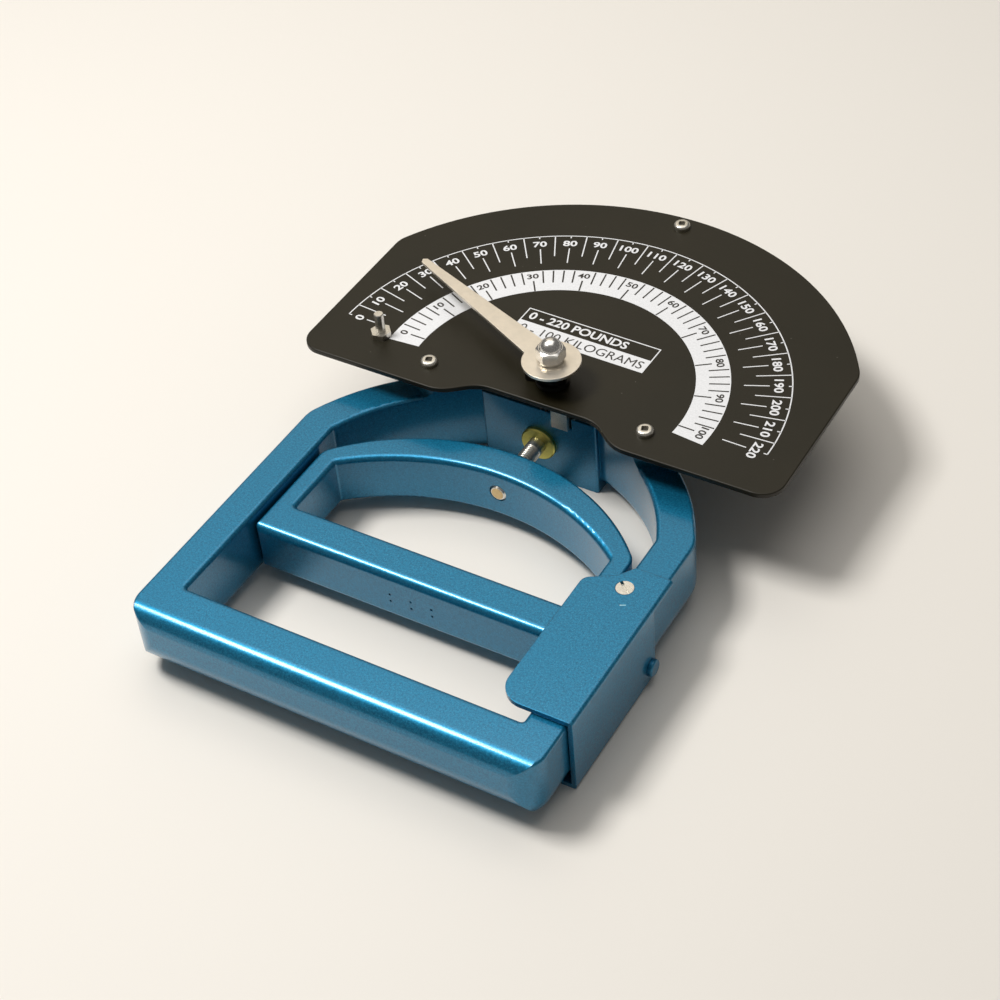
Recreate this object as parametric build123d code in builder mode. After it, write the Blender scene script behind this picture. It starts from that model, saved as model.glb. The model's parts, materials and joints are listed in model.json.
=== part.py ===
"""Hand dynamometer with a sprung draw rod, a rack and pinion, and a dial with a friction pointer.

Millimetres. X runs across the grip, +Y runs from the palm handle to the top of the dial, +Z is up.
The origin is under the middle of the instrument, on the surface that it lies on.
Sketch coordinates are counted from the pointer's pivot, which stands PIVOT_Y in front of the origin.
The frame's middle and the draw rod's axis stand a little to the left of the pivot.
"""
import os
from math import atan, cos, pi, radians, sin, sqrt, tan

from build123d import *

# ---------------------------------------------------------------- driving dimensions
PIVOT_Y = 16.2                  # pointer pivot, forward of the origin
FRAME_X = -1.5                  # middle of the frame, from the pivot
DRAW_X = -2.7                   # axis of the draw rod, from the pivot
FRAME_BOTTOM = 2.0
FRAME_TOP = 22.0
BLOCK_TOP = 24.0                # top of the spring housing
DIAL_BOTTOM = 29.5
DIAL_TOP = 30.9
ROD_Z = 12.2                    # height of the draw rod's axis
FIT = 0.02                      # radial clearance of a fixed fit
RUN = 0.05                      # radial clearance of a running fit
HOLE_GAP = 0.1                  # radial clearance of a screw's through hole
EDGE = 0.4                      # small chamfer on turned parts

ARM_OUTER = 59.0                # half widths of the frame
ARM_INNER = 49.0
HANDLE_FRONT = -113.9
HANDLE_BACK = -100.5
HANDLE_CORNER = 7.0
HANDLE_TOP_ROUND, HANDLE_UNDER_ROUND = 4.5, 9.5     # roundings along the front of the handle
ARM_SHOULDER = 10.0             # rounding where the straight arms meet the arch
WINDOW_CORNER, WINDOW_SHOULDER_R = 0.8, 2.0
TOP_ROUND, UNDER_ROUND = 0.9, 5.6
INNER_TOP_ROUND, INNER_UNDER_ROUND = 1.3, 3.2
ARCH_OUTER_Y, ARCH_OUTER_R = -55.0, 63.9
ARCH_INNER_Y, ARCH_INNER_R = -53.3, 53.0
PAD_FOOT, PAD_SLANT = (31.5, -12.6), 23.0   # line along the front of the raised pads under the dial
PAD_DEPTH = 28.0
PAD_INNER, PAD_OUTER = 24.0, 47.0
PAD_COVE = 3.0

BLOCK_HALF_WIDTH = 17.7
BLOCK_FRONT, BLOCK_BACK = -4.6, 80.0
BLOCK_FRONT_CORNER, BLOCK_BACK_CORNER = 0.8, 4.0
BORE_FRONT, BORE_R = 5.2, 8.2   # spring chamber
GROOVE_LEFT, GROOVE_RIGHT, GROOVE_FLOOR = 2.05, 7.75, 20.6

STROKE = 14.13                  # half a turn of the pinion, full scale
ROD_R = 2.5
ROD_FRONT, ROD_BACK = -27.7, 74.0
RETAINER_Y, RETAINER_THICK, RETAINER_GAP = 64.0, 3.0, 0.25
FOOT_LEFT, FOOT_RIGHT, FOOT_GAP = 2.7, 6.9, 0.5     # foot of the retainer that carries the rack
ROD_NUT_FLATS, ROD_NUTS = 8.0, (4.0, 2.7)
BUSH_R, BUSH_FLANGE_R, BUSH_FLANGE_THICK = 4.5, 5.2, 1.4
CAP_FRONT, RING_GROOVE_Y, RING_GROOVE_R = 74.2, 77.45, 9.0
RING_THICK, RING_INNER_R, RING_GAP = 1.0, 7.2, 6.0
RING_EAR_R, RING_EAR_HOLE_R, RING_EAR_ANGLE = 1.5, 0.6, 28.0
COIL_R, WIRE_R, COILS = 6.2, 1.65, 10.6

STIRRUP_BOTTOM, STIRRUP_DEPTH = 4.2, 15.0
STIRRUP_OUTER, STIRRUP_INNER = 47.3, 41.6
BAR_FRONT, BAR_BACK = -72.0, -61.1
BAR_TOP_ROUND, BAR_UNDER_ROUND = 2.2, 1.5
STIRRUP_PEAK, STIRRUP_SHOULDER = -18.0, -39.6
WINDOW_PEAK, WINDOW_SHOULDER = -27.4, -42.0
STIRRUP_CORNER, STIRRUP_SHOULDER_R = 1.6, 5.0
STIRRUP_WINDOW_CORNER, STIRRUP_WINDOW_SHOULDER_R = 0.8, 1.0
STIRRUP_TOP_ROUND, STIRRUP_UNDER_ROUND = 0.8, 1.2
STIRRUP_INNER_TOP_ROUND = 1.5
DIMPLE_XS, DIMPLE_ZS = (-6.0, 0.3, 6.5), (0.1, 2.5)     # punch marks, downwards from the rod's axis
DIMPLE_R, DIMPLE_DEPTH = 0.35, 0.4

MODULE = 0.5
PINION_TEETH = 18
PITCH_R = MODULE * PINION_TEETH / 2
ADDENDUM, DEDENDUM = MODULE, 1.25 * MODULE
PRESSURE_ANGLE = radians(20)
BACKLASH = 0.08
TOOTH_OVERLAP = 0.2             # depth to which a drawn tooth runs into its blank
FLANK_STEPS = 4
PINION_BOTTOM, PINION_TOP = 24.3, 27.5
RACK_BOTTOM, RACK_TOP = 20.9, 27.6
RACK_LEFT, RACK_RIGHT = 2.4, 7.3
RACK_FRONT, RACK_BACK = -6.2, 73.2
TEETH_FRONT, TEETH_BACK = -5.3, 20.5    # stretch of the rack that is cut back for the teeth
FIRST_TOOTH, LAST_TOOTH = -3, 12
RACK_SCREW_X, RACK_SCREW_YS, RACK_SCREW_R = 4.9, (66.3, 71.0), 1.25
RACK_SCREW_LENGTH, RACK_SCREW_HEAD_R, RACK_SCREW_HEAD_H = 4.5, 2.1, 1.3

PLATE_HALF_WIDTH, PLATE_R, PLATE_FRONT, PLATE_CORNER = 72.4, 81.5, -16.0, 6.5
PLATE_SHOULDER_R, PLATE_EDGE = 8.0, 0.35
NOTCH_FRONT, NOTCH_HALF, NOTCH_START = -9.2, 14.0, 30.0
DIAL_SCREWS = ((-34.5, -7.4), (31.5, -7.4), (0.0, 76.9))
SCREW_R, SCREW_TIP = 1.25, 21.8
SCREW_HEAD_R, SCREW_HEAD_H, SCREW_HEAD_ROUND = 2.4, 1.5, 0.9
RECESS_SIDE, RECESS_ROUND, RECESS_DEPTH, RECESS_TURN = 1.9, 0.45, 0.8, 20.0
SPACER_R = 2.6

ZERO_ANGLE = 178.7              # direction of the scale's zero, anticlockwise from +X
POINTER_ANGLE = 156.7           # direction in which the pointer was left
STUD_R, STUD_FOOT, STUD_TOP = 2.0, 18.0, 43.0
SLEEVE_R, SLEEVE_TOP, SLEEVE_GAP = 3.55, 33.0, 0.4
DRIVER_BOTTOM, DRIVER_THICK, DRIVER_R = 31.3, 1.2, 4.6
DRIVER_TAB_R, DRIVER_TAB_WIDTH, DRIVER_TAB_THICK, DRIVER_TAB_TOP = 7.4, 2.0, 1.0, 36.4
DRIVER_ANGLE = ZERO_ANGLE + 14
DRIVE_PIN_REACH, DRIVE_PIN_R, DRIVE_PIN_BOTTOM = 5.2, 0.6, 34.4
POINTER_BOTTOM, POINTER_THICK, POINTER_REACH, HUB_R = 37.8, 0.9, 59.8, 8.1
POINTER_ROOT_X, POINTER_ROOT_HALF, POINTER_TIP_HALF, POINTER_TIP = 3.0, 3.7, 1.1, 1.0
POINTER_ROOT_ROUND = 3.0
BUSH_WALL, BUSH_GAP = 0.2, 0.2
NUT_FLATS, NUT_BOTTOM, NUT_HEX, NUT_TURN = 7.0, 39.5, 3.6, 26.0
NUT_CORNER_R, NUT_FACE_R, NUT_CHAMFER = 4.15, 3.3, 0.5
DOME_R, DOME_SINK = 3.2, 0.6
STOP_X, STOP_Y, STOP_R, STOP_TOP = -53.1, -2.6, 1.35, 38.4
STOP_NUT_FLATS, STOP_NUT_THICK, STOP_NUT_TURN = 5.2, 1.6, 12.0

CLIP_PIVOT = (51.0, -53.3)
CLIP_SHEET, CLIP_TOP = 1.3, 23.7
CLIP_LEFT, CLIP_WALL = 40.0, 60.6
CLIP_FRONT, CLIP_BACK, CLIP_WALL_BACK = -97.7, -46.0, -56.5
CLIP_SHOULDERS = ((50.4, CLIP_BACK), (47.2, -50.4), (CLIP_LEFT, -54.5))
UPPER_LEAF = ((CLIP_WALL, CLIP_BACK), *CLIP_SHOULDERS)
LOWER_LEAF = ((CLIP_WALL, CLIP_WALL_BACK), (53.5, CLIP_BACK), *CLIP_SHOULDERS)
CLIP_FRONT_CORNER, CLIP_BACK_CORNER, CLIP_BEND = 6.5, 3.0, 1.1
CLIP_SHANK_R, CLIP_HEAD_R, CLIP_THREAD = 1.25, 2.3, 7.0
CLIP_SLOT_WIDTH, CLIP_SLOT_DEPTH, CLIP_SLOT_TURNS = 0.8, 0.9, (-40.0, 40.0)
KNOB_Y, KNOB_Z, KNOB_R, KNOB_OUT, KNOB_ROUND = -59.0, 5.2, 2.4, 1.4, 0.6


# ---------------------------------------------------------------- helpers
def level(height, x=0.0):
    """Horizontal plane at a height, with its origin x beside the pointer's pivot."""
    return Plane(origin=(x, PIVOT_Y, height), x_dir=(1, 0, 0), z_dir=(0, 0, 1))


def across(distance):
    """Upright plane facing +Y at a distance from the pivot, centred on the draw rod's axis."""
    return Plane(origin=(DRAW_X, PIVOT_Y + distance, ROD_Z), x_dir=(1, 0, 0), z_dir=(0, 1, 0))


def save(piece, name):
    """Label a finished piece and write it as parts/name.step."""
    piece.part.label = name
    export_step(piece.part, f"parts/{name}.step")


def strip(left, right, front, back):
    """Rectangle between two x and two y values, drawn on the current sketch."""
    with Locations(((left + right) / 2, (front + back) / 2)):
        Rectangle(right - left, back - front)


def arch_band(left, right):
    """The part of the frame's arch between two x values, drawn on the current sketch."""
    with Locations((0, ARCH_OUTER_Y)):
        Circle(ARCH_OUTER_R)
    with Locations((0, ARCH_INNER_Y)):
        Circle(ARCH_INNER_R, mode=Mode.SUBTRACT)
    with Locations(((left + right) / 2, 0)):
        Rectangle(right - left, ARCH_OUTER_R, mode=Mode.INTERSECT)


def rounded_front(front, bottom, top, under_round, top_round):
    """Upright block across X whose two front edges are rounded, as a separate solid."""
    with BuildPart(mode=Mode.PRIVATE) as block:
        with BuildSketch(Plane.YZ.offset(-PLATE_HALF_WIDTH)) as profile:
            strip(PIVOT_Y + front, PIVOT_Y - front, bottom, top)
            lower_corners = profile.vertices().group_by(Axis.Y)[0].sort_by(Axis.X)
            fillet(lower_corners[0], under_round)
            upper_corners = profile.vertices().group_by(Axis.Y)[-1].sort_by(Axis.X)
            fillet(upper_corners[0], top_round)
        extrude(amount=2 * PLATE_HALF_WIDTH)
    return block.part


def polar(radius, angle_deg):
    """Point at a radius and direction from the pivot."""
    return (radius * cos(radians(angle_deg)), radius * sin(radians(angle_deg)))


os.makedirs("parts", exist_ok=True)

# ---------------------------------------------------------------- frame casting
arch_start = ARCH_OUTER_Y + sqrt(ARCH_OUTER_R**2 - ARM_OUTER**2)
window_start = ARCH_INNER_Y + sqrt(ARCH_INNER_R**2 - ARM_INNER**2)
cove_foot = FRAME_TOP - 0.1     # a little under the top, so that the cove runs out in the casting

with BuildPart() as frame_casting:
    with BuildSketch(level(FRAME_BOTTOM, FRAME_X)) as outline:
        with BuildLine():
            Polyline((-ARM_OUTER, arch_start), (-ARM_OUTER, HANDLE_FRONT),
                     (ARM_OUTER, HANDLE_FRONT), (ARM_OUTER, arch_start))
            ThreePointArc((ARM_OUTER, arch_start), (0, ARCH_OUTER_Y + ARCH_OUTER_R),
                          (-ARM_OUTER, arch_start))
        make_face()
        fillet(outline.vertices().group_by(Axis.Y)[0], HANDLE_CORNER)
        fillet(outline.vertices().group_by(Axis.Y)[-1], ARM_SHOULDER)
    extrude(amount=FRAME_TOP - FRAME_BOTTOM)
    fillet(frame_casting.faces().sort_by(Axis.Z)[0].edges(), UNDER_ROUND)
    fillet(frame_casting.faces().sort_by(Axis.Z)[-1].edges(), TOP_ROUND)
    add(rounded_front(HANDLE_FRONT, FRAME_BOTTOM, FRAME_TOP, HANDLE_UNDER_ROUND, HANDLE_TOP_ROUND),
        mode=Mode.INTERSECT)
    with BuildSketch(level(FRAME_BOTTOM, FRAME_X)) as window:
        with BuildLine():
            Polyline((-ARM_INNER, window_start), (-ARM_INNER, HANDLE_BACK),
                     (ARM_INNER, HANDLE_BACK), (ARM_INNER, window_start))
            ThreePointArc((ARM_INNER, window_start), (0, ARCH_INNER_Y + ARCH_INNER_R),
                          (-ARM_INNER, window_start))
        make_face()
        fillet(window.vertices().group_by(Axis.Y)[0], WINDOW_CORNER)
        fillet(window.vertices().group_by(Axis.Y)[-1], WINDOW_SHOULDER_R)
    extrude(amount=FRAME_TOP - FRAME_BOTTOM, mode=Mode.SUBTRACT)
    fillet(frame_casting.faces().sort_by(Axis.Z)[0].inner_wires()[0].edges(), INNER_UNDER_ROUND)
    fillet(frame_casting.faces().sort_by(Axis.Z)[-1].inner_wires()[0].edges(), INNER_TOP_ROUND)

    # pads that carry the dial, with a cove along their slanting foot
    with BuildSketch(level(FRAME_TOP - PAD_COVE, FRAME_X)):
        arch_band(PAD_INNER, PAD_OUTER)
    pad = extrude(amount=DIAL_BOTTOM - FRAME_TOP + PAD_COVE, mode=Mode.PRIVATE)
    slant = radians(PAD_SLANT)
    pad_plane = Plane(origin=(FRAME_X + PAD_FOOT[0], PIVOT_Y + PAD_FOOT[1], 0),
                      x_dir=(-sin(slant), cos(slant), 0), z_dir=(cos(slant), sin(slant), 0))
    with BuildSketch(pad_plane):
        with BuildLine():
            foot = (0, cove_foot)
            hollow = (PAD_COVE * sin(pi / 4), cove_foot + PAD_COVE * (1 - cos(pi / 4)))
            top_of_cove = (PAD_COVE, cove_foot + PAD_COVE)
            ThreePointArc(foot, hollow, top_of_cove)
            Polyline(top_of_cove, (PAD_COVE, DIAL_BOTTOM), (PAD_DEPTH, DIAL_BOTTOM),
                     (PAD_DEPTH, FRAME_TOP - PAD_COVE), (0, FRAME_TOP - PAD_COVE), foot)
        make_face()
    coved = extrude(amount=PAD_OUTER, both=True, mode=Mode.PRIVATE) & pad
    add(coved)
    mirror(coved, about=Plane.YZ.offset(FRAME_X))

    # middle of the arch and the spring housing
    with BuildSketch(level(FRAME_TOP - PAD_COVE, FRAME_X)):
        arch_band(-PAD_INNER, PAD_INNER)
    extrude(amount=BLOCK_TOP - FRAME_TOP + PAD_COVE)
    with BuildSketch(level(0, DRAW_X)) as housing:
        strip(-BLOCK_HALF_WIDTH, BLOCK_HALF_WIDTH, BLOCK_FRONT, BLOCK_BACK)
        fillet(housing.vertices().group_by(Axis.Y)[-1], BLOCK_BACK_CORNER)
        fillet(housing.vertices().group_by(Axis.Y)[0], BLOCK_FRONT_CORNER)
    extrude(amount=BLOCK_TOP)

    # spring chamber, ring groove and bush seat
    with BuildSketch(across(BORE_FRONT)):
        Circle(BORE_R)
    extrude(amount=BLOCK_BACK - BORE_FRONT + 1, mode=Mode.SUBTRACT)
    with BuildSketch(across(RING_GROOVE_Y)):
        Circle(RING_GROOVE_R)
    extrude(amount=RING_THICK + HOLE_GAP, mode=Mode.SUBTRACT)
    with BuildSketch(across(BLOCK_FRONT - 1)):
        Circle(BUSH_R + FIT)
    extrude(amount=BORE_FRONT - BLOCK_FRONT + 2, mode=Mode.SUBTRACT)

    # rack groove and the slot of the rack's foot
    with BuildSketch(level(GROOVE_FLOOR)):
        strip(GROOVE_LEFT, GROOVE_RIGHT, BLOCK_FRONT - 2, RACK_BACK + 1)
    extrude(amount=BLOCK_TOP - GROOVE_FLOOR + 1, mode=Mode.SUBTRACT)
    with BuildSketch(level(ROD_Z - 1)):
        strip(FOOT_LEFT - FOOT_GAP, FOOT_RIGHT + FOOT_GAP,
              RETAINER_Y - STROKE - FOOT_GAP, RACK_BACK + 1)
    extrude(amount=GROOVE_FLOOR - ROD_Z + 2, mode=Mode.SUBTRACT)

    # tapped holes: pointer stud, dial screws, clip pivots
    with BuildSketch(level(STUD_FOOT)):
        Circle(STUD_R + FIT)
    extrude(amount=BLOCK_TOP - STUD_FOOT + 1, mode=Mode.SUBTRACT)
    with BuildSketch(level(SCREW_TIP - 0.2)):
        with Locations(*DIAL_SCREWS):
            Circle(SCREW_R + FIT)
    extrude(amount=DIAL_BOTTOM - SCREW_TIP + 1, mode=Mode.SUBTRACT)
    for hole_bottom in (FRAME_TOP - CLIP_THREAD, FRAME_BOTTOM - 1):
        with BuildSketch(level(hole_bottom, FRAME_X)):
            with Locations(CLIP_PIVOT):
                Circle(CLIP_SHANK_R + FIT)
        extrude(amount=CLIP_THREAD + 1, mode=Mode.SUBTRACT)
save(frame_casting, "frame_casting")

# ---------------------------------------------------------------- guide bush, end cap, retaining ring
with BuildPart() as guide_bush:
    with BuildSketch(across(BLOCK_FRONT)):
        Circle(BUSH_R)
    extrude(amount=BORE_FRONT - BLOCK_FRONT)
    with BuildSketch(across(BLOCK_FRONT)):
        Circle(BUSH_FLANGE_R)
    extrude(amount=-BUSH_FLANGE_THICK)
    chamfer(guide_bush.edges().sort_by(Axis.Y)[0], EDGE)
    with BuildSketch(across(BLOCK_FRONT - BUSH_FLANGE_THICK)):
        Circle(ROD_R + RUN)
    extrude(amount=BORE_FRONT - BLOCK_FRONT + BUSH_FLANGE_THICK, mode=Mode.SUBTRACT)
save(guide_bush, "guide_bush")

with BuildPart() as end_cap:
    with BuildSketch(across(CAP_FRONT)):
        Circle(BORE_R - RUN)
    extrude(amount=RING_GROOVE_Y - CAP_FRONT)
    chamfer(end_cap.edges(), EDGE)
save(end_cap, "end_cap")

with BuildPart() as retaining_ring:
    with BuildSketch(across(RING_GROOVE_Y + HOLE_GAP / 2)):
        Circle(RING_GROOVE_R - HOLE_GAP)
        Circle(RING_INNER_R, mode=Mode.SUBTRACT)
        with Locations((0, BORE_R)):
            Rectangle(RING_GAP, RING_GAP, mode=Mode.SUBTRACT)
        for ear_angle in (90 - RING_EAR_ANGLE, 90 + RING_EAR_ANGLE):
            with Locations(polar(RING_INNER_R, ear_angle)):
                Circle(RING_EAR_R)
                Circle(RING_EAR_HOLE_R, mode=Mode.SUBTRACT)
    extrude(amount=RING_THICK)
save(retaining_ring, "retaining_ring")

# ---------------------------------------------------------------- draw rod and what it carries
with BuildPart() as draw_rod:
    with BuildSketch(across(ROD_FRONT)):
        Circle(ROD_R)
    extrude(amount=ROD_BACK - ROD_FRONT)
    chamfer(draw_rod.edges().filter_by(GeomType.CIRCLE), EDGE)
save(draw_rod, "draw_rod")

with BuildPart() as main_spring:
    coil_length = RETAINER_Y - BORE_FRONT - 2 * WIRE_R - HOLE_GAP
    with BuildLine() as coil:
        Helix(pitch=coil_length / COILS, height=coil_length, radius=COIL_R,
              center=(DRAW_X, PIVOT_Y + BORE_FRONT + WIRE_R + HOLE_GAP / 2, ROD_Z), direction=(0, 1, 0))
    with BuildSketch(Plane(origin=coil.line @ 0, z_dir=coil.line % 0)):
        Circle(WIRE_R)
    sweep(path=coil.line, is_frenet=True)
save(main_spring, "main_spring")

with BuildPart() as spring_retainer:
    with BuildSketch(across(RETAINER_Y)):
        Circle(BORE_R - RETAINER_GAP)
    extrude(amount=RETAINER_THICK)
    with BuildSketch(level(ROD_Z)):
        strip(FOOT_LEFT, FOOT_RIGHT, RETAINER_Y, RACK_BACK)
    extrude(amount=RACK_BOTTOM - ROD_Z)
    with BuildSketch(across(RETAINER_Y)):
        Circle(ROD_R + FIT)
    extrude(amount=RETAINER_THICK, mode=Mode.SUBTRACT)
    with BuildSketch(level(RACK_BOTTOM - RACK_SCREW_LENGTH - HOLE_GAP)):
        with Locations(*[(RACK_SCREW_X, y) for y in RACK_SCREW_YS]):
            Circle(RACK_SCREW_R + FIT)
    extrude(amount=RACK_SCREW_LENGTH + HOLE_GAP, mode=Mode.SUBTRACT)
save(spring_retainer, "spring_retainer")

with BuildPart() as rod_nuts:
    nut_start = RETAINER_Y + RETAINER_THICK
    for thick in ROD_NUTS:
        with BuildSketch(across(nut_start)):
            RegularPolygon(ROD_NUT_FLATS / 2, 6, major_radius=False)
            Circle(ROD_R + FIT, mode=Mode.SUBTRACT)
        extrude(amount=thick)
        nut_start += thick + HOLE_GAP
save(rod_nuts, "rod_nuts")

# ---------------------------------------------------------------- rack
tooth_pitch = pi * MODULE
half_tooth = tooth_pitch / 4 - BACKLASH / 2
tip_half = half_tooth - ADDENDUM * tan(PRESSURE_ANGLE)
root_half = half_tooth + DEDENDUM * tan(PRESSURE_ANGLE)
rack_tip_x = PITCH_R - ADDENDUM
rack_root_x = PITCH_R + DEDENDUM

with BuildPart() as rack:
    with BuildSketch(level(RACK_BOTTOM)):
        strip(RACK_LEFT, RACK_RIGHT, RACK_FRONT, TEETH_FRONT)
        strip(rack_root_x, RACK_RIGHT, TEETH_FRONT, TEETH_BACK)
        strip(RACK_LEFT, RACK_RIGHT, TEETH_BACK, RACK_BACK)
        for k in range(FIRST_TOOTH, LAST_TOOTH + 1):
            mid = k * tooth_pitch
            with BuildLine():
                Polyline((rack_root_x + TOOTH_OVERLAP, mid - root_half), (rack_root_x, mid - root_half),
                         (rack_tip_x, mid - tip_half), (rack_tip_x, mid + tip_half),
                         (rack_root_x, mid + root_half), (rack_root_x + TOOTH_OVERLAP, mid + root_half),
                         close=True)
            make_face()
    extrude(amount=RACK_TOP - RACK_BOTTOM)
    with BuildSketch(level(RACK_BOTTOM)):
        with Locations(*[(RACK_SCREW_X, y) for y in RACK_SCREW_YS]):
            Circle(RACK_SCREW_R + FIT)
    extrude(amount=RACK_TOP - RACK_BOTTOM, mode=Mode.SUBTRACT)
save(rack, "rack")

with BuildPart() as rack_screws:
    with BuildSketch(level(RACK_BOTTOM - RACK_SCREW_LENGTH)):
        with Locations(*[(RACK_SCREW_X, y) for y in RACK_SCREW_YS]):
            Circle(RACK_SCREW_R)
    extrude(amount=RACK_TOP - RACK_BOTTOM + RACK_SCREW_LENGTH)
    with BuildSketch(level(RACK_TOP)):
        with Locations(*[(RACK_SCREW_X, y) for y in RACK_SCREW_YS]):
            Circle(RACK_SCREW_HEAD_R)
    extrude(amount=RACK_SCREW_HEAD_H)
    with BuildSketch(level(RACK_TOP + RACK_SCREW_HEAD_H / 2)):
        with Locations(*[(RACK_SCREW_X, y) for y in RACK_SCREW_YS]):
            Rectangle(3 * RACK_SCREW_HEAD_R, RACK_SCREW_HEAD_R / 3)
    extrude(amount=RACK_SCREW_HEAD_H, mode=Mode.SUBTRACT)
save(rack_screws, "rack_screws")

# ---------------------------------------------------------------- pinion, driver and stud
base_r = PITCH_R * cos(PRESSURE_ANGLE)
tip_r = PITCH_R + ADDENDUM
root_r = PITCH_R - DEDENDUM


def involute_point(radius, side):
    """Point of a tooth flank at a radius, on one side of a tooth centred on +X."""
    reach = tan(PRESSURE_ANGLE) - PRESSURE_ANGLE
    bend = sqrt((radius / base_r) ** 2 - 1)
    half_angle = (pi / 2 - BACKLASH / MODULE) / PINION_TEETH + reach - (bend - atan(bend))
    return (radius * cos(side * half_angle), radius * sin(side * half_angle))


with BuildPart() as pinion:
    with BuildSketch(level(PINION_BOTTOM)):
        Circle(root_r)
        flank = [base_r + (tip_r - base_r) * step / FLANK_STEPS for step in range(FLANK_STEPS + 1)]
        with BuildLine():
            lower = [involute_point(r, -1) for r in flank]
            upper = [involute_point(r, 1) for r in reversed(flank)]
            Polyline((root_r - TOOTH_OVERLAP, lower[0][1]), *lower, *upper,
                     (root_r - TOOTH_OVERLAP, upper[-1][1]), close=True)
        tooth = make_face(mode=Mode.PRIVATE)
        with PolarLocations(0, PINION_TEETH, start_angle=180 / PINION_TEETH):
            add(tooth)
    extrude(amount=PINION_TOP - PINION_BOTTOM)
    with BuildSketch(level(PINION_TOP)):
        Circle(SLEEVE_R)
    extrude(amount=SLEEVE_TOP - PINION_TOP)
    with BuildSketch(level(PINION_BOTTOM)):
        Circle(STUD_R + RUN)
    extrude(amount=SLEEVE_TOP - PINION_BOTTOM, mode=Mode.SUBTRACT)
save(pinion, "pinion")

with BuildPart() as driver:
    with BuildSketch(level(DRIVER_BOTTOM)):
        Circle(DRIVER_R)
        with Locations(Location((*polar(DRIVER_TAB_R / 2, DRIVER_ANGLE), 0), DRIVER_ANGLE)):
            Rectangle(DRIVER_TAB_R, DRIVER_TAB_WIDTH)
        Circle(SLEEVE_R + FIT, mode=Mode.SUBTRACT)
    extrude(amount=DRIVER_THICK)
    with BuildSketch(level(DRIVER_BOTTOM)):
        tab_middle = polar(DRIVER_TAB_R - DRIVER_TAB_THICK / 2, DRIVER_ANGLE)
        with Locations(Location((*tab_middle, 0), DRIVER_ANGLE)):
            Rectangle(DRIVER_TAB_THICK, DRIVER_TAB_WIDTH)
    extrude(amount=DRIVER_TAB_TOP - DRIVER_BOTTOM)
save(driver, "driver")

with BuildPart() as centre_stud:
    with BuildSketch(level(STUD_FOOT + HOLE_GAP)):
        Circle(STUD_R)
    extrude(amount=STUD_TOP - STUD_FOOT - HOLE_GAP)
    chamfer(centre_stud.edges().filter_by(GeomType.CIRCLE), EDGE)
save(centre_stud, "centre_stud")

# ---------------------------------------------------------------- pointer
with BuildPart() as pointer:
    pointer_plane = Plane(origin=(0, PIVOT_Y, POINTER_BOTTOM), x_dir=(*polar(1, POINTER_ANGLE), 0),
                          z_dir=(0, 0, 1))
    with BuildSketch(pointer_plane) as blade:
        Circle(HUB_R)
        with BuildLine():
            Polyline((POINTER_ROOT_X, -POINTER_ROOT_HALF),
                     (POINTER_REACH - POINTER_TIP, -POINTER_TIP_HALF), (POINTER_REACH, 0),
                     (POINTER_REACH - POINTER_TIP, POINTER_TIP_HALF),
                     (POINTER_ROOT_X, POINTER_ROOT_HALF), close=True)
        make_face()
        fillet(blade.vertices().filter_by_position(Axis.X, -20, -2), POINTER_ROOT_ROUND)
        Circle(STUD_R + RUN, mode=Mode.SUBTRACT)
    extrude(amount=POINTER_THICK)
    with BuildSketch(level(DRIVE_PIN_BOTTOM)):
        with Locations(polar(DRIVE_PIN_REACH, POINTER_ANGLE)):
            Circle(DRIVE_PIN_R)
    extrude(amount=POINTER_BOTTOM - DRIVE_PIN_BOTTOM)
save(pointer, "pointer")

with BuildPart() as pointer_bush:
    with BuildSketch(level(SLEEVE_TOP + BUSH_GAP)):
        Circle(SLEEVE_R + BUSH_WALL)
        Circle(STUD_R + RUN, mode=Mode.SUBTRACT)
    extrude(amount=POINTER_BOTTOM - SLEEVE_TOP - BUSH_GAP)
save(pointer_bush, "pointer_bush")

with BuildPart() as friction_washer:
    with BuildSketch(level(POINTER_BOTTOM + POINTER_THICK)):
        Circle(NUT_FACE_R)
        Circle(STUD_R + RUN, mode=Mode.SUBTRACT)
    extrude(amount=NUT_BOTTOM - POINTER_BOTTOM - POINTER_THICK)
save(friction_washer, "friction_washer")

with BuildPart() as acorn_nut:
    with BuildSketch(level(NUT_BOTTOM)):
        RegularPolygon(NUT_FLATS / 2, 6, major_radius=False, rotation=NUT_TURN)
    extrude(amount=NUT_HEX)
    turning_axis = Axis((0, PIVOT_Y, 0), (0, 0, 1))
    with BuildSketch(Plane(origin=(0, PIVOT_Y, NUT_BOTTOM), x_dir=(1, 0, 0), z_dir=(0, -1, 0))):
        with BuildLine():
            Polyline((0, 0), (NUT_FACE_R, 0), (NUT_CORNER_R, NUT_CHAMFER),
                     (NUT_CORNER_R, NUT_HEX - NUT_CHAMFER), (NUT_FACE_R, NUT_HEX), (0, NUT_HEX),
                     close=True)
        make_face()
    revolve(axis=turning_axis, mode=Mode.INTERSECT)
    dome_middle = NUT_BOTTOM + NUT_HEX - DOME_SINK
    with BuildSketch(Plane(origin=(0, PIVOT_Y, dome_middle), x_dir=(1, 0, 0), z_dir=(0, -1, 0))):
        with BuildLine():
            Polyline((0, DOME_R), (0, 0), (DOME_R, 0))
            ThreePointArc((DOME_R, 0), (DOME_R * cos(pi / 4), DOME_R * sin(pi / 4)), (0, DOME_R))
        make_face()
    revolve(axis=turning_axis)
    with BuildSketch(level(NUT_BOTTOM)):
        Circle(STUD_R + FIT)
    extrude(amount=STUD_TOP - NUT_BOTTOM + HOLE_GAP, mode=Mode.SUBTRACT)
save(acorn_nut, "acorn_nut")

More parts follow.
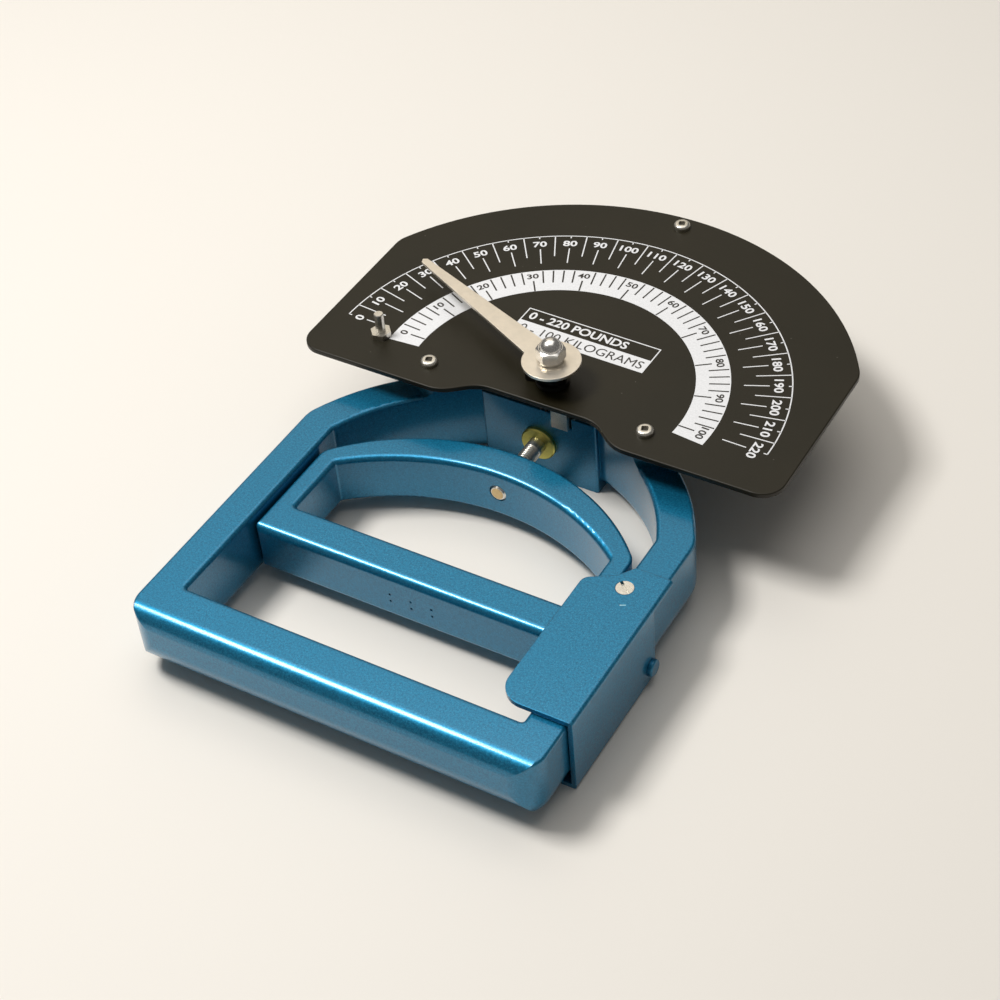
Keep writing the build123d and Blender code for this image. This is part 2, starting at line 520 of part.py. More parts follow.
# ---------------------------------------------------------------- dial plate and its fixings
with BuildPart() as dial_plate:
    shoulder_y = sqrt(PLATE_R**2 - PLATE_HALF_WIDTH**2)
    with BuildSketch(level(DIAL_BOTTOM)) as plate:
        with BuildLine():
            Line((0, NOTCH_FRONT), (NOTCH_HALF, NOTCH_FRONT))
            Spline((NOTCH_HALF, NOTCH_FRONT), (NOTCH_START, PLATE_FRONT), tangents=((1, 0), (1, 0)))
            Polyline((NOTCH_START, PLATE_FRONT), (PLATE_HALF_WIDTH, PLATE_FRONT),
                     (PLATE_HALF_WIDTH, shoulder_y))
            ThreePointArc((PLATE_HALF_WIDTH, shoulder_y), polar(PLATE_R, 60), (0, PLATE_R))
            mirror(about=Plane.YZ)
        make_face()
        sides = plate.vertices().sort_by(Axis.X)
        front_corners = (sides[:2] + sides[-2:]).group_by(Axis.Y)[0]
        fillet(front_corners, PLATE_CORNER)
        sides = plate.vertices().sort_by(Axis.X)
        shoulders = (sides[:2] + sides[-2:]).group_by(Axis.Y)[-1]
        fillet(shoulders, PLATE_SHOULDER_R)
        Circle(SLEEVE_R + SLEEVE_GAP, mode=Mode.SUBTRACT)
        with Locations(*DIAL_SCREWS):
            Circle(SCREW_R + HOLE_GAP, mode=Mode.SUBTRACT)
        with Locations((STOP_X, STOP_Y)):
            Circle(STOP_R + FIT, mode=Mode.SUBTRACT)
    extrude(amount=DIAL_TOP - DIAL_BOTTOM)
    fillet(dial_plate.faces().sort_by(Axis.Z)[-1].outer_wire().edges(), PLATE_EDGE)
save(dial_plate, "dial_plate")

with BuildPart() as dial_spacer:
    with BuildSketch(level(BLOCK_TOP)):
        with Locations(DIAL_SCREWS[-1]):
            Circle(SPACER_R)
            Circle(SCREW_R + HOLE_GAP, mode=Mode.SUBTRACT)
    extrude(amount=DIAL_BOTTOM - BLOCK_TOP)
save(dial_spacer, "dial_spacer")

with BuildPart() as dial_screws:
    with BuildSketch(level(SCREW_TIP)):
        with Locations(*DIAL_SCREWS):
            Circle(SCREW_R)
    extrude(amount=DIAL_TOP - SCREW_TIP)
    with BuildSketch(level(DIAL_TOP)):
        with Locations(*DIAL_SCREWS):
            Circle(SCREW_HEAD_R)
    extrude(amount=SCREW_HEAD_H)
    fillet(dial_screws.faces().filter_by(Axis.Z).group_by(Axis.Z)[-1].edges(), SCREW_HEAD_ROUND)
    with BuildSketch(level(DIAL_TOP + SCREW_HEAD_H - RECESS_DEPTH)):
        with Locations(*DIAL_SCREWS):
            RectangleRounded(RECESS_SIDE, RECESS_SIDE, RECESS_ROUND, rotation=RECESS_TURN)
    extrude(amount=1, mode=Mode.SUBTRACT)
save(dial_screws, "dial_screws")

with BuildPart() as zero_stop_post:
    with BuildSketch(level(DIAL_BOTTOM - STOP_NUT_THICK)):
        with Locations((STOP_X, STOP_Y)):
            Circle(STOP_R)
    extrude(amount=STOP_TOP - DIAL_BOTTOM + STOP_NUT_THICK)
    chamfer(zero_stop_post.edges().filter_by(GeomType.CIRCLE), EDGE / 2)
save(zero_stop_post, "zero_stop_post")

with BuildPart() as zero_stop_nuts:
    for under in (DIAL_BOTTOM - STOP_NUT_THICK, DIAL_TOP):
        with BuildSketch(level(under)):
            with Locations((STOP_X, STOP_Y)):
                RegularPolygon(STOP_NUT_FLATS / 2, 6, major_radius=False, rotation=STOP_NUT_TURN)
                Circle(STOP_R + FIT, mode=Mode.SUBTRACT)
        extrude(amount=STOP_NUT_THICK)
save(zero_stop_nuts, "zero_stop_nuts")

# ---------------------------------------------------------------- stirrup
with BuildPart() as stirrup:
    with BuildSketch(level(STIRRUP_BOTTOM, DRAW_X)) as grip:
        with BuildLine():
            Polyline((-STIRRUP_OUTER, STIRRUP_SHOULDER), (-STIRRUP_OUTER, BAR_FRONT),
                     (STIRRUP_OUTER, BAR_FRONT), (STIRRUP_OUTER, STIRRUP_SHOULDER))
            ThreePointArc((STIRRUP_OUTER, STIRRUP_SHOULDER), (0, STIRRUP_PEAK),
                          (-STIRRUP_OUTER, STIRRUP_SHOULDER))
        make_face()
        fillet(grip.vertices().group_by(Axis.Y)[0], STIRRUP_CORNER)
        fillet(grip.vertices().group_by(Axis.Y)[-1], STIRRUP_SHOULDER_R)
    extrude(amount=STIRRUP_DEPTH)
    fillet(stirrup.faces().sort_by(Axis.Z)[0].edges(), STIRRUP_UNDER_ROUND)
    fillet(stirrup.faces().sort_by(Axis.Z)[-1].edges(), STIRRUP_TOP_ROUND)
    add(rounded_front(BAR_FRONT, STIRRUP_BOTTOM, STIRRUP_BOTTOM + STIRRUP_DEPTH, BAR_UNDER_ROUND,
                      BAR_TOP_ROUND), mode=Mode.INTERSECT)
    with BuildSketch(level(STIRRUP_BOTTOM, DRAW_X)) as opening:
        with BuildLine():
            Polyline((-STIRRUP_INNER, WINDOW_SHOULDER), (-STIRRUP_INNER, BAR_BACK),
                     (STIRRUP_INNER, BAR_BACK), (STIRRUP_INNER, WINDOW_SHOULDER))
            ThreePointArc((STIRRUP_INNER, WINDOW_SHOULDER), (0, WINDOW_PEAK),
                          (-STIRRUP_INNER, WINDOW_SHOULDER))
        make_face()
        fillet(opening.vertices().group_by(Axis.Y)[0], STIRRUP_WINDOW_CORNER)
        fillet(opening.vertices().group_by(Axis.Y)[-1], STIRRUP_WINDOW_SHOULDER_R)
    extrude(amount=STIRRUP_DEPTH, mode=Mode.SUBTRACT)
    fillet(stirrup.faces().sort_by(Axis.Z)[0].inner_wires()[0].edges(), STIRRUP_UNDER_ROUND)
    fillet(stirrup.faces().sort_by(Axis.Z)[-1].inner_wires()[0].edges(), STIRRUP_INNER_TOP_ROUND)
    with BuildSketch(across(WINDOW_PEAK - 2)):
        Circle(ROD_R + RUN)
    extrude(amount=STIRRUP_PEAK - WINDOW_PEAK + 4, mode=Mode.SUBTRACT)
    with BuildSketch(across(BAR_FRONT)):
        with Locations(*[(x, z) for x in DIMPLE_XS for z in DIMPLE_ZS]):
            Circle(DIMPLE_R)
    extrude(amount=DIMPLE_DEPTH, mode=Mode.SUBTRACT)
save(stirrup, "stirrup")

# ---------------------------------------------------------------- guide clip
with BuildPart() as guide_clip:
    for sheet_bottom, leaf in ((0, LOWER_LEAF), (CLIP_TOP - CLIP_SHEET, UPPER_LEAF)):
        with BuildSketch(level(sheet_bottom, FRAME_X)) as flange:
            with BuildLine():
                Polyline((CLIP_LEFT, CLIP_FRONT), (CLIP_WALL, CLIP_FRONT), *leaf, close=True)
            make_face()
            left_side = flange.vertices().sort_by(Axis.X)[:2].sort_by(Axis.Y)
            fillet(left_side[0], CLIP_FRONT_CORNER)
            left_side = flange.vertices().sort_by(Axis.X)[:2].sort_by(Axis.Y)
            fillet(left_side[-1], CLIP_BACK_CORNER)
            with Locations(CLIP_PIVOT):
                Circle(CLIP_HEAD_R + RUN, mode=Mode.SUBTRACT)
        extrude(amount=CLIP_SHEET)
    with BuildSketch(level(0, FRAME_X)):
        strip(CLIP_WALL - CLIP_SHEET, CLIP_WALL, CLIP_FRONT, CLIP_WALL_BACK)
    extrude(amount=CLIP_TOP)
    bends = guide_clip.edges().filter_by(Axis.Y).group_by(Axis.X)[-1].sort_by(Axis.Z)
    fillet([bends[0], bends[-1]], CLIP_BEND)
save(guide_clip, "guide_clip")

with BuildPart() as clip_pivot_screws:
    heads = ((FRAME_TOP, CLIP_TOP - FRAME_TOP), (FRAME_BOTTOM, -FRAME_BOTTOM))
    for (seat, rise), slot_turn in zip(heads, CLIP_SLOT_TURNS):
        outward = 1 if rise > 0 else -1
        with BuildSketch(level(seat, FRAME_X)):
            with Locations(CLIP_PIVOT):
                Circle(CLIP_HEAD_R)
        extrude(amount=rise)
        with BuildSketch(level(seat, FRAME_X)):
            with Locations(CLIP_PIVOT):
                Circle(CLIP_SHANK_R)
        extrude(amount=-outward * (CLIP_THREAD - 2 * HOLE_GAP))
        with BuildSketch(level(seat + rise - outward * CLIP_SLOT_DEPTH, FRAME_X)):
            with Locations(CLIP_PIVOT):
                Rectangle(3 * CLIP_HEAD_R, CLIP_SLOT_WIDTH, rotation=slot_turn)
        extrude(amount=outward * (CLIP_SLOT_DEPTH + 1), mode=Mode.SUBTRACT)
save(clip_pivot_screws, "clip_pivot_screws")

with BuildPart() as clip_knob:
    knob_plane = Plane(origin=(FRAME_X + CLIP_WALL, PIVOT_Y + KNOB_Y, KNOB_Z), x_dir=(0, 1, 0),
                       z_dir=(1, 0, 0))
    with BuildSketch(knob_plane):
        Circle(KNOB_R)
    extrude(amount=KNOB_OUT)
    fillet(clip_knob.faces().sort_by(Axis.X)[-1].edges(), KNOB_ROUND)
save(clip_knob, "clip_knob")
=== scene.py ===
"""Looks of the hand dynamometer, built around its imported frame.

Everything is in metres, in the frame's own axes: X across the grip, +Y from the palm handle to the
dial, +Z up. Sizes are written in millimetres times MM, and places are read from the frame.
"""
import json
from math import cos, pi, radians, sin

import bmesh
import bpy
from mathutils import Matrix, Quaternion, Vector


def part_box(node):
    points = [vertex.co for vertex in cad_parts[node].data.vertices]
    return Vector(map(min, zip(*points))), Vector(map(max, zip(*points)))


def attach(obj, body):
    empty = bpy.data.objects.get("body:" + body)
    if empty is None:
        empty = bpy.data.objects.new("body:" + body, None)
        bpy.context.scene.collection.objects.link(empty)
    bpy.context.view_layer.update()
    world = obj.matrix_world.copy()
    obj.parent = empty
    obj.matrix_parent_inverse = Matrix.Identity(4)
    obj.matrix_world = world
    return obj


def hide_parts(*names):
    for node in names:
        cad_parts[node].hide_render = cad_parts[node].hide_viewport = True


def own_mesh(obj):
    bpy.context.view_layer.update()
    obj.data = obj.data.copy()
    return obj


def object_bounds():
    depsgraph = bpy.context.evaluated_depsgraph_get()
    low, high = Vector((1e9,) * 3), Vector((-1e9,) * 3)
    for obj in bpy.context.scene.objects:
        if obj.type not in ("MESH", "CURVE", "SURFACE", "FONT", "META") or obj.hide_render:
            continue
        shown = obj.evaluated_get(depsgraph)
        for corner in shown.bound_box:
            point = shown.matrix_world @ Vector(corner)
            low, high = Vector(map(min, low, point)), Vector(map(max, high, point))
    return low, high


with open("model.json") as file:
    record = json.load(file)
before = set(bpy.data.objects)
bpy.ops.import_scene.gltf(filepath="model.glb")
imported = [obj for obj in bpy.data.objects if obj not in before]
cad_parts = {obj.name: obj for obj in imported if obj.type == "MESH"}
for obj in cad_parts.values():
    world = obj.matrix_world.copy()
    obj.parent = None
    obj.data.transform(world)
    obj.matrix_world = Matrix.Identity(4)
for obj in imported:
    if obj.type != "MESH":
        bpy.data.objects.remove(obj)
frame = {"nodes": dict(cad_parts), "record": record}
cad_low, cad_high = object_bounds()

MM = 0.001

# ---------------------------------------------------------------- camera
CAMERA_AIM = Vector((5.0, -21.9, 22.0)) * MM
CAMERA_DISTANCE = 543.4 * MM
CAMERA_AZIMUTH, CAMERA_ELEVATION, CAMERA_ROLL = 34.07, 43.12, -5.63
CAMERA_LENS = 75.6


def direction(azimuth, elevation):
    """Unit vector from the object; azimuth 0 is towards -Y and 90 towards +X."""
    a, e = radians(azimuth), radians(elevation)
    return Vector((sin(a) * cos(e), -cos(a) * cos(e), sin(e)))


def make_camera():
    """Camera at the photograph's angle, with its slight roll."""
    data = bpy.data.cameras.new("camera")
    data.lens = CAMERA_LENS
    camera = bpy.data.objects.new("camera", data)
    bpy.context.scene.collection.objects.link(camera)
    back = direction(CAMERA_AZIMUTH, CAMERA_ELEVATION)
    camera.location = CAMERA_AIM + back * CAMERA_DISTANCE
    camera.rotation_mode = "QUATERNION"
    level = (-back).to_track_quat("-Z", "Y")
    camera.rotation_quaternion = level @ Quaternion((0, 0, 1), radians(CAMERA_ROLL))
    data.clip_start = 10 * MM
    data.clip_end = 20
    bpy.context.scene.camera = camera


make_camera()
bpy.context.scene.view_settings.view_transform = "Standard"


# ---------------------------------------------------------------- materials
class Surface:
    """A Principled material whose colour, gloss and bump come from noise in the object's own space."""

    def __init__(self, name, **sockets):
        self.material = bpy.data.materials.new(name)
        self.material.use_nodes = True
        self.tree = self.material.node_tree
        self.shader = self.tree.nodes["Principled BSDF"]
        self.place = self.add("ShaderNodeTexCoord").outputs["Object"]
        self.set(**sockets)

    def add(self, kind, **settings):
        node = self.tree.nodes.new(kind)
        for name, value in settings.items():
            setattr(node, name, value)
        return node

    def feed(self, socket, value):
        if isinstance(value, bpy.types.NodeSocket):
            self.tree.links.new(value, socket)
        else:
            socket.default_value = value

    def set(self, **sockets):
        """Shader sockets by name, with underscores for spaces. Colours are three numbers."""
        for name, value in sockets.items():
            if isinstance(value, tuple):
                value = (*value, 1.0)
            self.feed(self.shader.inputs[name.replace("_", " ")], value)

    def noise(self, size, detail=2.0, roughness=0.5, stretch=(1, 1, 1)):
        """Noise from 0 to 1 whose grains are about size across, drawn out by stretch."""
        mapping = self.add("ShaderNodeMapping")
        self.feed(mapping.inputs["Vector"], self.place)
        mapping.inputs["Scale"].default_value = [1 / s for s in stretch]
        node = self.add("ShaderNodeTexNoise")
        self.feed(node.inputs["Vector"], mapping.outputs["Vector"])
        node.inputs["Scale"].default_value = 1 / size
        node.inputs["Detail"].default_value = detail
        node.inputs["Roughness"].default_value = roughness
        return node.outputs["Fac"]

    def cells(self, size):
        """Distance from the middle of the nearest cell, in cells."""
        node = self.add("ShaderNodeTexVoronoi", feature="F1")
        self.feed(node.inputs["Vector"], self.place)
        node.inputs["Scale"].default_value = 1 / size
        return node.outputs["Distance"]

    def remap(self, value, low, high, to_low=0.0, to_high=1.0):
        node = self.add("ShaderNodeMapRange")
        for name, number in zip(("Value", "From Min", "From Max", "To Min", "To Max"),
                                (value, low, high, to_low, to_high)):
            self.feed(node.inputs[name], number)
        return node.outputs["Result"]

    def maths(self, operation, a, b):
        node = self.add("ShaderNodeMath", operation=operation)
        self.feed(node.inputs[0], a)
        self.feed(node.inputs[1], b)
        return node.outputs[0]

    def mix(self, share, a, b):
        """Colour a where share is 0, and b where it is 1."""
        node = self.add("ShaderNodeMix", data_type="RGBA")
        self.feed(node.inputs[0], share)
        for socket, colour in ((node.inputs[6], a), (node.inputs[7], b)):
            self.feed(socket, (*colour, 1.0) if isinstance(colour, tuple) else colour)
        return node.outputs[2]

    def round_edges(self, radius):
        """Shades the sharp edges as if they were rounded."""
        node = self.add("ShaderNodeBevel", samples=6)
        node.inputs["Radius"].default_value = radius
        self.feed(self.shader.inputs["Normal"], node.outputs["Normal"])

    def bump(self, height, depth):
        """Adds a bump of this depth on top of the bumps so far."""
        node = self.add("ShaderNodeBump")
        node.inputs["Strength"].default_value = 1.0
        node.inputs["Distance"].default_value = depth
        self.feed(node.inputs["Height"], height)
        if self.shader.inputs["Normal"].is_linked:
            self.feed(node.inputs["Normal"], self.shader.inputs["Normal"].links[0].from_socket)
        self.feed(self.shader.inputs["Normal"], node.outputs["Normal"])


def hammered_paint():
    """Metallic blue paint, glossy, with a fine mottle, a slight orange peel and a few dust nibs."""
    s = Surface("hammered_paint", Metallic=0.7, Specular_IOR_Level=0.1, Coat_Weight=0.85,
                Coat_Roughness=0.15)
    s.round_edges(0.45 * MM)
    mottle = s.noise(0.55 * MM, detail=3, roughness=0.65)
    flakes = s.noise(0.22 * MM, detail=1)
    clouds = s.noise(14 * MM, detail=2)
    colour = s.mix(s.remap(mottle, 0.36, 0.64), (0.004, 0.128, 0.245), (0.010, 0.215, 0.395))
    colour = s.mix(s.remap(flakes, 0.56, 0.74, 0, 0.5), colour, (0.06, 0.38, 0.62))
    colour = s.mix(s.remap(clouds, 0.3, 0.7, 0, 0.22), colour, (0.004, 0.165, 0.315))
    s.set(Base_Color=colour, Roughness=s.remap(mottle, 0.3, 0.7, 0.34, 0.46))
    nibs = s.remap(s.cells(9 * MM), 0.022, 0.045, 1, 0)
    s.bump(mottle, 0.012 * MM)
    s.bump(s.noise(1.6 * MM, detail=1), 0.02 * MM)
    s.bump(nibs, 0.05 * MM)
    return s.material


def dial_black():
    """Satin black enamel tinted brown for a painted warm reflection, with a fine grain, faint handling
    scratches and dust.
    """
    s = Surface("dial_black", Specular_IOR_Level=0.33)
    grain = s.noise(0.25 * MM, detail=2)
    clouds = s.noise(22 * MM, detail=3)
    scratches = s.noise(0.22 * MM, detail=1, stretch=(60, 1, 1))
    dust = s.remap(s.cells(6.5 * MM), 0.018, 0.032, 1, 0)
    # The brown in these near-blacks is a painted warm reflection.
    colour = s.mix(s.remap(clouds, 0.3, 0.7), (0.009, 0.007, 0.001), (0.012, 0.009, 0.002))
    colour = s.mix(s.maths("MULTIPLY", dust, 0.25), colour, (0.30, 0.28, 0.24))
    s.set(Base_Color=colour, Roughness=s.remap(scratches, 0.6, 0.8, 0.42, 0.34))
    s.bump(grain, 0.006 * MM)
    return s.material


def metal(name, colour, tint, roughness, grain=(1, 1, 1), bump=0.003 * MM):
    """Bare or plated metal: a base colour that drifts towards a tint, brushed along the grain."""
    s = Surface(name, Metallic=1.0)
    drift = s.noise(2.5 * MM, detail=3)
    brushed = s.noise(0.12 * MM, detail=2, stretch=grain)
    s.set(Base_Color=s.mix(s.remap(drift, 0.35, 0.65), colour, tint),
          Roughness=s.remap(brushed, 0.3, 0.7, roughness * 0.8, roughness * 1.25))
    s.bump(brushed, bump)
    return s.material


def ink(name, colour, worn):
    """Screen-printed ink, a little uneven."""
    s = Surface(name, Roughness=0.5)
    s.set(Base_Color=s.mix(s.remap(s.noise(0.5 * MM, detail=3), 0.35, 0.75), colour, worn))
    s.bump(s.noise(0.2 * MM), 0.004 * MM)
    return s.material


MATERIALS = {
    "hammered_paint": hammered_paint(),
    "dial_black": dial_black(),
    "zinc_steel": metal("zinc_steel", (0.80, 0.77, 0.70), (0.70, 0.67, 0.60), 0.30),
    "bright_plate": metal("bright_plate", (0.84, 0.82, 0.79), (0.78, 0.76, 0.72), 0.22,
                          bump=0.002 * MM),
    "nickel_pointer": metal("nickel_pointer", (0.86, 0.79, 0.68), (0.80, 0.74, 0.64), 0.36,
                            grain=(14, 1, 1)),
    "brass_bush": metal("brass_bush", (0.68, 0.62, 0.16), (0.55, 0.50, 0.14), 0.32),
    # Blackened steel; its darkness also paints the shade under the pointer hub, where the driver sits.
    "black_steel": metal("black_steel", (0.035, 0.034, 0.033), (0.055, 0.052, 0.048), 0.42),
    "spring_steel": metal("spring_steel", (0.30, 0.29, 0.28), (0.22, 0.21, 0.20), 0.30),
    "white_ink": ink("white_ink", (0.80, 0.81, 0.83), (0.70, 0.71, 0.73)),
    # Pale blue ink for a lighter spot on the clip and for painted highlights beside the rack.
    "pale_spot_and_highlight_ink": ink("pale_spot_and_highlight_ink", (0.20, 0.50, 0.62), (0.45, 0.66, 0.72)),
    # Dark ink that paints the shade in the dial screws' recesses.
    "shade_ink": ink("shade_ink", (0.030, 0.026, 0.018), (0.060, 0.050, 0.036)),
    # Tan metal that paints the warm reflection seen on the rod's front end.
    "warm_reflection_tan": metal("warm_reflection_tan", (0.66, 0.50, 0.27), (0.55, 0.40, 0.20), 0.38),
    "black_ink": ink("black_ink", (0.022, 0.019, 0.014), (0.035, 0.031, 0.024)),
}
SLOT_OF = {part["node"]: part["material_slot"] for part in frame["record"]["subparts"]}
BODY_OF = {node: body for body, nodes in frame["record"]["behaviour"]["bodies"].items() for node in nodes}

for node, obj in frame["nodes"].items():
    for place in obj.material_slots:
        place.material = MATERIALS[SLOT_OF[node]]


# ---------------------------------------------------------------- making pieces
def piece_from(bm, name, material, smooth_angle=35):
    """Turns a bmesh into a piece with smooth faces and sharp edges above an angle."""
    mesh = bpy.data.meshes.new(name)
    bmesh.ops.recalc_face_normals(bm, faces=bm.faces)
    bm.to_mesh(mesh)
    bm.free()
    mesh.materials.append(MATERIALS[material])
    mesh.polygons.foreach_set("use_smooth", [True] * len(mesh.polygons))
    mesh.set_sharp_from_angle(angle=radians(smooth_angle))
    piece = bpy.data.objects.new(name, mesh)
    bpy.context.scene.collection.objects.link(piece)
    return piece


def stand_for(piece, node):
    """The piece rides as the CAD node that it replaces, and the node is hidden."""
    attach(piece, BODY_OF[node])
    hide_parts(node)


SOFT_SEGMENTS, SOFT_ANGLE = 2, 32
FLAT_ANGLE = 0.3


def soften(node, width):
    """A copy of the CAD node with its sharp edges rounded to a small width. It stands for the node."""
    bm = bmesh.new()
    bm.from_mesh(frame["nodes"][node].data)
    bmesh.ops.remove_doubles(bm, verts=bm.verts, dist=0.0005 * MM)
    bmesh.ops.dissolve_limit(bm, angle_limit=radians(FLAT_ANGLE), verts=bm.verts, edges=bm.edges)
    sharp = [e for e in bm.edges if e.is_manifold and e.calc_face_angle() > radians(SOFT_ANGLE)]
    bmesh.ops.bevel(bm, geom=sharp, offset=width, segments=SOFT_SEGMENTS, profile=0.5,
                    affect="EDGES", clamp_overlap=False)
    piece = piece_from(bm, f"{node}_soft", SLOT_OF[node])
    weighted = piece.modifiers.new("normals", "WEIGHTED_NORMAL")
    weighted.keep_sharp = True
    stand_for(piece, node)


for node, width in (("pointer", 0.12), ("dial_plate", 0.1)):
    soften(node, width * MM)

# ---------------------------------------------------------------- print of the dial
stud_low, stud_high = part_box("centre_stud")
dial_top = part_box("dial_plate")[1].z
PIVOT = Vector(((stud_low.x + stud_high.x) / 2, (stud_low.y + stud_high.y) / 2, dial_top))
SCALE_SHIFT = -1.5 * MM         # the scales' middle lies beside the pivot
SCALE_MIDDLE = PIVOT + Vector((SCALE_SHIFT, 0, 0))

ZERO_ANGLE, SWEEP = 178.7, 180.0
FULL_POUNDS = 220
POUNDS_PER_KILOGRAM = 2.2046
INK_SINK, INK_RISE = 0.02 * MM, 0.03 * MM
LINE = 0.34 * MM
KILO_LINE = 0.45 * MM

ARC_R = 65.0 * MM
FIVE_FROM, TEN_FROM, TEN_TO, FIVE_TO = 65.0 * MM, 59.0 * MM, 52.2 * MM, 55.4 * MM
TEN_MARK_TO = 64.0 * MM
POUND_NUMBER_R, POUND_NUMBER_H = 61.4 * MM, 2.6 * MM
BAND_OUTER, BAND_INNER, BAND_OVERRUN = 48.8 * MM, 39.5 * MM, 5.0    # radii, and degrees at each end
ARC_STEPS = 120
KILO_MARK_FROM, KILO_MARK_TO = 48.5 * MM, 43.0 * MM
KILO_TEN_FROM, KILO_TEN_TO = 44.2 * MM, 39.6 * MM
KILO_NUMBER_R, KILO_NUMBER_H = 46.4 * MM, 2.2 * MM


def reading_angle(pounds):
    """Direction of a reading from the pivot, in radians anticlockwise from +X."""
    return radians(ZERO_ANGLE - pounds * SWEEP / FULL_POUNDS)


def spot(radius, angle):
    """Place on the dial at a radius and direction from the middle of the scales."""
    return SCALE_MIDDLE + Vector((radius * cos(angle), radius * sin(angle), 0))


def slab(bm, corners, sink, rise):
    """Thin closed plate over a polygon whose corners lie on the dial."""
    low = [bm.verts.new(c - Vector((0, 0, sink))) for c in corners]
    high = [bm.verts.new(c + Vector((0, 0, rise))) for c in corners]
    bm.faces.new(low)
    bm.faces.new(high)
    for k in range(len(corners)):
        bm.faces.new((low[k - 1], low[k], high[k], high[k - 1]))


def tick(bm, angle, start, end, width=LINE, rise=INK_RISE):
    """Radial line between two radii."""
    side = Vector((-sin(angle), cos(angle), 0)) * width / 2
    inner, outer = spot(end, angle), spot(start, angle)
    slab(bm, (inner - side, outer - side, outer + side, inner + side), INK_SINK, rise)


def arc(bm, outer, inner, start, end):
    """Ring sector between two radii and two directions."""
    rings = []
    for step in range(ARC_STEPS + 1):
        angle = start + (end - start) * step / ARC_STEPS
        rings.append([bm.verts.new(spot(radius, angle) + Vector((0, 0, lift)))
                      for radius, lift in ((inner, -INK_SINK), (outer, -INK_SINK),
                                           (outer, INK_RISE), (inner, INK_RISE))])
    for near, far in zip(rings, rings[1:]):
        for k in range(4):
            bm.faces.new((near[k - 1], near[k], far[k], far[k - 1]))
    bm.faces.new(rings[0])
    bm.faces.new(rings[-1])


BOLD = 0.024                    # growth of the strokes, in the font's own units
SPREAD = 1.2                    # width of the letters to their own width in the font


def lettering(bm, text, place, height, turn, width=None, rise=INK_RISE, bold=BOLD):
    """Raised letters of a height, centred on a place, and drawn out to a width if one is given."""
    curve = bpy.data.curves.new("lettering", "FONT")
    curve.body = text
    curve.offset = bold
    curve.resolution_u = 4
    curve.extrude = 0.5
    letters = bpy.data.objects.new("lettering", curve)
    bpy.context.scene.collection.objects.link(letters)
    mesh = bpy.data.meshes.new_from_object(letters)
    bpy.data.objects.remove(letters)
    xs = [v.co.x for v in mesh.vertices]
    ys = [v.co.y for v in mesh.vertices]
    tall = height / (max(ys) - min(ys))
    wide = width / (max(xs) - min(xs)) if width else tall * SPREAD
    middle = Matrix.Translation((-(max(xs) + min(xs)) / 2, -(max(ys) + min(ys)) / 2, 0.5))
    size = Matrix.Diagonal((wide, tall, INK_SINK + rise, 1))
    sunk = Matrix.Translation(place - Vector((0, 0, INK_SINK)))
    mesh.transform(sunk @ Matrix.Rotation(turn, 4, "Z") @ size @ middle)
    bm.from_mesh(mesh)
    bpy.data.meshes.remove(mesh)


def print_piece(bm, name, material):
    """Finishes one layer of print, fixed to the dial plate."""
    bmesh.ops.remove_doubles(bm, verts=bm.verts, dist=0.0002 * MM)
    piece = piece_from(bm, name, material, smooth_angle=20)
    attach(piece, "root")


def print_pounds():
    """Outer scale: an arc, a long mark every ten pounds, one between them, and the numbers."""
    bm = bmesh.new()
    arc(bm, ARC_R + LINE / 2, ARC_R - LINE / 2, reading_angle(0), reading_angle(FULL_POUNDS))
    for pounds in range(0, FULL_POUNDS + 1, 5):
        angle = reading_angle(pounds)
        if pounds % 10:
            tick(bm, angle, FIVE_FROM, FIVE_TO)
            continue
        tick(bm, angle, FIVE_FROM, TEN_MARK_TO)
        tick(bm, angle, TEN_FROM, TEN_TO)
        lettering(bm, str(pounds), spot(POUND_NUMBER_R, angle), POUND_NUMBER_H, angle - pi / 2)
    print_piece(bm, "print_pounds", "white_ink")


def print_kilograms():
    """Inner scale: dark marks every two kilograms on a white band, and the numbers."""
    bm = bmesh.new()
    overrun = radians(BAND_OVERRUN)
    arc(bm, BAND_OUTER, BAND_INNER, reading_angle(0) + overrun, reading_angle(FULL_POUNDS) - overrun)
    print_piece(bm, "print_kilogram_band", "white_ink")
    bm = bmesh.new()
    rise = 2 * INK_RISE
    for kilograms in range(0, 101, 2):
        angle = reading_angle(kilograms * POUNDS_PER_KILOGRAM)
        if kilograms % 10:
            tick(bm, angle, KILO_MARK_FROM, KILO_MARK_TO, KILO_LINE, rise)
            continue
        tick(bm, angle, KILO_TEN_FROM, KILO_TEN_TO, KILO_LINE, rise)
        lettering(bm, str(kilograms), spot(KILO_NUMBER_R, angle), KILO_NUMBER_H, angle - pi / 2,
                  rise=rise)
    print_piece(bm, "print_kilogram_marks", "black_ink")


LEGEND_LEFT, LEGEND_RIGHT = -20.6 * MM, 21.0 * MM
LEGEND_LOW, LEGEND_MIDDLE, LEGEND_HIGH = 14.0 * MM, 19.5 * MM, 25.0 * MM
LEGEND_TEXT_H, LEGEND_TEXT_LEFT = 3.1 * MM, -18.9 * MM
POUNDS_TEXT_W, KILOGRAMS_TEXT_W = 31.0 * MM, 38.6 * MM


